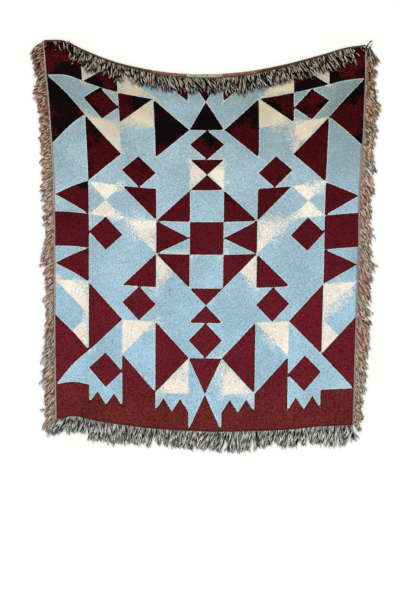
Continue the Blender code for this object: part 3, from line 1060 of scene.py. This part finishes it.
def lock_aims(edge, shares, curls):
    """The compass angle in degrees at which locks leave the edge, how far each bends, and its length."""
    fringe = FRINGES[edge]
    bend = fringe["bend"] + curls
    if edge in ("left", "right"):
        fall = smooth(SIDE_LOCKS, SIDE_LOCK_COLUMNS, edge + "_fall", shares)
        reach = smooth(SIDE_LOCKS, SIDE_LOCK_COLUMNS, edge + "_reach", shares)
        return (180 + fall if edge == "left" else -fall), bend, fringe["length"] * reach
    if edge == "foot":
        lean = smooth(FOOT_LOCKS, FOOT_LOCK_COLUMNS, "lean", shares)
        return lean - 90, bend, fringe["length"] * smooth(FOOT_LOCKS, FOOT_LOCK_COLUMNS, "reach", shares)
    names = ("lean", "bend", "curl", "reach")
    lean, bend, curl, reach = (smooth(TOP_LOCKS, TOP_LOCK_COLUMNS, name, shares) for name in names)
    return lean - 90, bend + curls * curl / LAYERS["above"]["curl"], fringe["length"] * reach


def clumps_of(edge, draws):
    """The clumps that an edge's locks draw together in: their limits along it, leans and stretches."""
    count = int(CLOTH_HEIGHT / CLUMP_WIDTHS[0]) + 1
    limits = draws.uniform(*CLUMP_WIDTHS, count).cumsum() / edge_length(edge)
    leans = draws.normal(0, CLUMP_LEAN, count)
    return np.concatenate([[0.0], limits]), leans, draws.normal(0, CLUMP_STRETCH, count)


def lock_places(edge, layer, draws):
    """Where the locks of one layer stand, as shares of their edge: evenly, each a little astray."""
    count = int(LAYERS[layer]["per_metre"] * edge_length(edge))
    shares = (np.arange(count) + 0.5 + draws.uniform(-LOCK_ASTRAY, LOCK_ASTRAY, count)) / count
    if edge == "top":
        shares = shares[draws.uniform(0, 1, count) < smooth(TOP_LOCKS, TOP_LOCK_COLUMNS, "share", shares)]
    return shares


def lock_paths(edge, layer, shares, clumps, draws):
    """The middle lines of one layer's locks, the compass angles along them, and their lengths.

    A lock starts in the heading. It sets off at the edge's angle, turned by its clump's lean and its own.
    It bends as it goes, and a slow sine wave waves it. Its tip is drawn towards its clump's middle. It comes
    down from the heading to its own height in the pile over the first half. Locks at a clump's limits are
    shorter.
    """
    fringe = FRINGES[edge]
    kind = LAYERS[layer]
    count = len(shares)
    limits, leans, stretches = clumps
    clump = np.searchsorted(limits, shares, side="right") - 1
    roots, outward = edge_points(edge, shares)
    sunk = draws.uniform(*ROOT_SHARES, (count, 1))
    roots = roots + (PIECE_GAP + HEADINGS[edge]["width"] * sunk) * outward
    middles = (limits[clump] + limits[clump + 1]) / 2
    off_middle = (shares - middles) / (limits[clump + 1] - limits[clump]) * 2
    aim, bend, length = lock_aims(edge, shares, draws.normal(0, kind["curl"], count))
    aim = aim + leans[clump] + draws.normal(0, kind["stray"], count)
    uneven = stretches[clump] - CLUMP_ROUND * off_middle**2 + draws.normal(0, LENGTH_SPREAD, count)
    length = length * kind["reach"] * (1 + uneven)

    steps = np.linspace(0, 1, LOCK_STATIONS)
    waves = draws.uniform(*SWING_WAVES, (count, 1))
    start = draws.uniform(0, 2 * np.pi, (count, 1))
    swing = draws.uniform(*kind["swing"], (count, 1))
    wave = swing * np.sin(2 * np.pi * waves * steps + start)
    angle = np.radians(aim[:, None] + bend[:, None] * (steps - BEND_MIDDLE) + wave)
    step = length[:, None] / (LOCK_STATIONS - 1)
    middle_angle = (angle[:, 1:] + angle[:, :-1]) / 2
    x = np.concatenate([np.zeros((count, 1)), (step * np.cos(middle_angle)).cumsum(1)], axis=1)
    y = np.concatenate([np.zeros((count, 1)), (step * np.sin(middle_angle)).cumsum(1)], axis=1)

    to_middle = edge_points(edge, np.clip(middles, 0, 1))[0] - edge_points(edge, shares)[0]
    x += roots[:, 0:1] + fringe["draw_in"] * to_middle[:, 0:1] * steps**2
    y += roots[:, 1:2] + fringe["draw_in"] * to_middle[:, 1:2] * steps**2

    pile = fringe["pile"] * draws.uniform(*kind["pile"], (count, 1))
    pile = pile * np.sin(np.pi * (PILE_START + PILE_RUN * steps))
    ground = face_height(x, y) if edge == "top" else 0 * x
    rest = ground + kind["twist_radius"] + kind["yarn_radius"] + pile
    root_height = roots[:, 2:3] + (ROOT_RISE if layer == "above" else 0.0)
    z = rest + (root_height - rest[:, :1]) * (1 - eased(steps / DESCENT_SHARE))
    return np.stack([x, y, z], axis=-1), angle, length


def yarn_paths(paths, angle, layer, draws):
    """Each lock's yarns: points that go round its middle line, and draw apart sideways at its tip."""
    kind = LAYERS[layer]
    steps = np.linspace(0, 1, LOCK_STATIONS)
    count = len(paths)
    yarn = np.arange(kind["yarns"])[:, None]
    spread = kind["twist_radius"] * (0.5 + 0.5 * eased(steps / TWIST_SHARE))
    turned = draws.uniform(*kind["turns"], (count, 1, 1)) * steps + draws.uniform(0, 1, (count, 1, 1))
    phase = 2 * np.pi * (turned + yarn / kind["yarns"])
    frayed = eased((steps - (1 - FRAY_SHARE)) / FRAY_SHARE)
    fray = kind["fray"] * frayed * draws.normal(0, 1, (count, kind["yarns"], 1))
    level = spread * np.cos(phase) + fray
    made = np.repeat(paths[:, None], kind["yarns"], axis=1)
    made[..., 0] -= level * np.sin(angle)[:, None]
    made[..., 1] += level * np.cos(angle)[:, None]
    made[..., 2] += spread * np.sin(phase)
    return made.reshape(-1, LOCK_STATIONS, 3)


def drawn_colours(palette, count, draws):
    """Colours drawn from a palette of codes, each as often as it says."""
    colours = np.array([linear(code) for code, _ in palette])
    odds = np.array([share for _, share in palette])
    return colours[draws.choice(len(odds), size=count, p=odds / odds.sum())]


def yarn_colours(edge, layer, shares, draws):
    """One colour a yarn, lock by lock: from its kind's palette, or a tinted tone of the weft ending there."""
    kinds = LOCK_KINDS[edge] if layer == "above" else ("dark",) * LAYERS[layer]["yarns"]
    count = len(shares)
    if edge in END_YARNS:
        made = np.stack([drawn_colours(END_YARNS[edge][kind], count, draws) for kind in kinds], axis=1)
    else:
        run_count = int(CLOTH_HEIGHT / WEFT_RUN)
        wefts = np.array([linear(code) for code in SIDE_WEFTS])
        runs = draws.integers(0, len(wefts), run_count + 1)
        run = np.repeat((shares * run_count).astype(int)[:, None], len(kinds), axis=1)
        astray = draws.uniform(0, 1, run.shape) < WEFT_ASTRAY
        picks = np.where(astray, draws.integers(0, len(wefts), run.shape), runs[run])
        made = wefts[picks] * np.array([(*SIDE_TONES[kind], 1.0) for kind in kinds])
        cream = (draws.uniform(0, 1, run.shape) < SIDE_CREAM[1]) & (np.array(kinds) == "light")
        made = np.where(cream[..., None], linear(SIDE_CREAM[0]), made)
        hues = SIDE_TINT_COLUMNS[1:]
        tint = np.stack([smooth(SIDE_TINTS, SIDE_TINT_COLUMNS, hue, shares) for hue in hues], axis=-1)
        made[..., :3] *= tint[:, None] ** np.array([[SIDE_TINT_DEPTHS[kind]] for kind in kinds])
    made = made.reshape(-1, 4)
    return made * np.clip(draws.normal(1.0, TONE_SPREAD, (len(made), 1)), *TONE_LIMITS)


def yarn_material(edge):
    """Loose cotton yarn: each yarn's own colour, with painted shade in the grooves between its plies, and
    worn paler.
    """
    made, tree, shader = cotton_material("fringe_yarn_" + edge)
    plies = plies_along(tree, PLY_LENGTH)
    own = add(tree, "Attribute", attribute_name="yarn_colour").outputs["Color"]
    worn = noise(tree, object_place(tree), scale=150.0, detail=2.0)
    # Painted shade in the grooves between plies
    colour = mixed(tree, between(tree, plies, *GROOVE_SHADE_SHARES), own, GROOVE_SHADE_COLOUR)
    colour = mixed(tree, between(tree, worn, *WEAR_SHARES), colour, own, "SCREEN")
    tree.links.new(colour, shader.inputs["Base Color"])
    raise_by(tree, shader, plies, YARN_BUMP)
    return made


def fringe_piece(edge):
    """All of an edge's yarns as one mesh: slim tubes that taper to their tips, each in its own colour."""
    draws = np.random.default_rng(FRINGES[edge]["draw"])
    clumps = clumps_of(edge, draws)
    steps = np.linspace(0, 1, LOCK_STATIONS)
    yarns, radii, runs, own = [], [], [], []
    for layer, kind in LAYERS.items():
        shares = lock_places(edge, layer, draws)
        paths, angle, length = lock_paths(edge, layer, shares, clumps, draws)
        yarns.append(yarn_paths(paths, angle, layer, draws))
        radii.append(np.full(len(yarns[-1]), kind["yarn_radius"]))
        runs.append(np.repeat(length, kind["yarns"]))
        own.append(yarn_colours(edge, layer, shares, draws))
    yarns, radii, runs, own = (np.concatenate(parts) for parts in (yarns, radii, runs, own))
    radii = radii[:, None] * (1 - TAPER * eased((steps - (1 - TAPER_SHARE)) / TAPER_SHARE))
    points = tube_points(yarns, radii, radii, LOCK_SIDES)
    points[..., 2] = np.maximum(points[..., 2], 0.0)
    quads = tube_quads(len(yarns), LOCK_STATIONS, LOCK_SIDES)
    piece = piece_from("strands_" + edge, points.reshape(-1, 3), quads)
    give_uv(piece, tube_uv(runs[:, None] * steps, len(yarns), LOCK_STATIONS, LOCK_SIDES))
    # Painted shade at the roots, paling to worn tips
    colours = own[:, None] * (ROOT_SHADE_TONE + TIP_GAIN * eased(steps))[:, None]
    colours[..., 3] = 1.0
    attribute = piece.data.attributes.new("yarn_colour", "FLOAT_COLOR", "POINT")
    attribute.data.foreach_set("color", np.repeat(colours, LOCK_SIDES, axis=1).astype(np.float32).ravel())
    piece.data.materials.append(yarn_material(edge))
    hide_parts("fringe_" + edge)
    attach(piece, "root")
    return piece


fringes = [fringe_piece(edge) for edge in FRINGES]


# The floor, the light and the camera. The floor is plain and nearly white. One broad soft light comes from
# above and the left, and the rest is even. The camera looks straight down on the throw.
FLOOR_HALF = 8.0
FLOOR_COLOUR = linear("F7F7F6")
FLOOR_ROUGHNESS = 0.9
SUN_STRENGTH = 2.12
SUN_ANGLE = 24.0
SUN_TILT = 47.0
SUN_TURN = 112.0
SKY_COLOUR = linear("FFFFFF")
SKY_STRENGTH = 0.62
VIEW_CENTRE = (-0.0201, -0.2659)
VIEW_LENGTH = 2.2
LENS = 85.0
SENSOR = 36.0

floor_mesh = bpy.data.meshes.new("floor")
floor_corners = [(FLOOR_HALF * x, FLOOR_HALF * y, 0.0) for x, y in ((-1, -1), (1, -1), (1, 1), (-1, 1))]
floor_mesh.from_pydata(floor_corners, [], [(0, 1, 2, 3)])
floor = bpy.data.objects.new("floor", floor_mesh)
bpy.context.scene.collection.objects.link(floor)
floor_paint = bpy.data.materials.new("floor_paint")
floor_paint.use_nodes = True
floor_shader = floor_paint.node_tree.nodes["Principled BSDF"]
floor_shader.inputs["Base Color"].default_value = FLOOR_COLOUR
floor_shader.inputs["Roughness"].default_value = FLOOR_ROUGHNESS
floor.data.materials.append(floor_paint)

sun = bpy.data.objects.new("soft_light", bpy.data.lights.new("soft_light", "SUN"))
sun.data.energy = SUN_STRENGTH
sun.data.angle = math.radians(SUN_ANGLE)
sun.rotation_euler = (math.radians(SUN_TILT), 0.0, math.radians(SUN_TURN + 90))
bpy.context.scene.collection.objects.link(sun)

sky = bpy.data.worlds.new("even_light")
sky.use_nodes = True
sky_shader = sky.node_tree.nodes["Background"]
sky_shader.inputs["Color"].default_value = SKY_COLOUR
sky_shader.inputs["Strength"].default_value = SKY_STRENGTH
bpy.context.scene.world = sky
bpy.context.scene.view_settings.view_transform = "Standard"

camera = bpy.data.objects.new("camera", bpy.data.cameras.new("camera"))
camera.data.lens = LENS
camera.data.sensor_width = SENSOR
camera.location = (VIEW_CENTRE[0] + FRAME_X, VIEW_CENTRE[1] + FRAME_Y, VIEW_LENGTH * LENS / SENSOR)
bpy.context.scene.collection.objects.link(camera)
bpy.context.scene.camera = camera
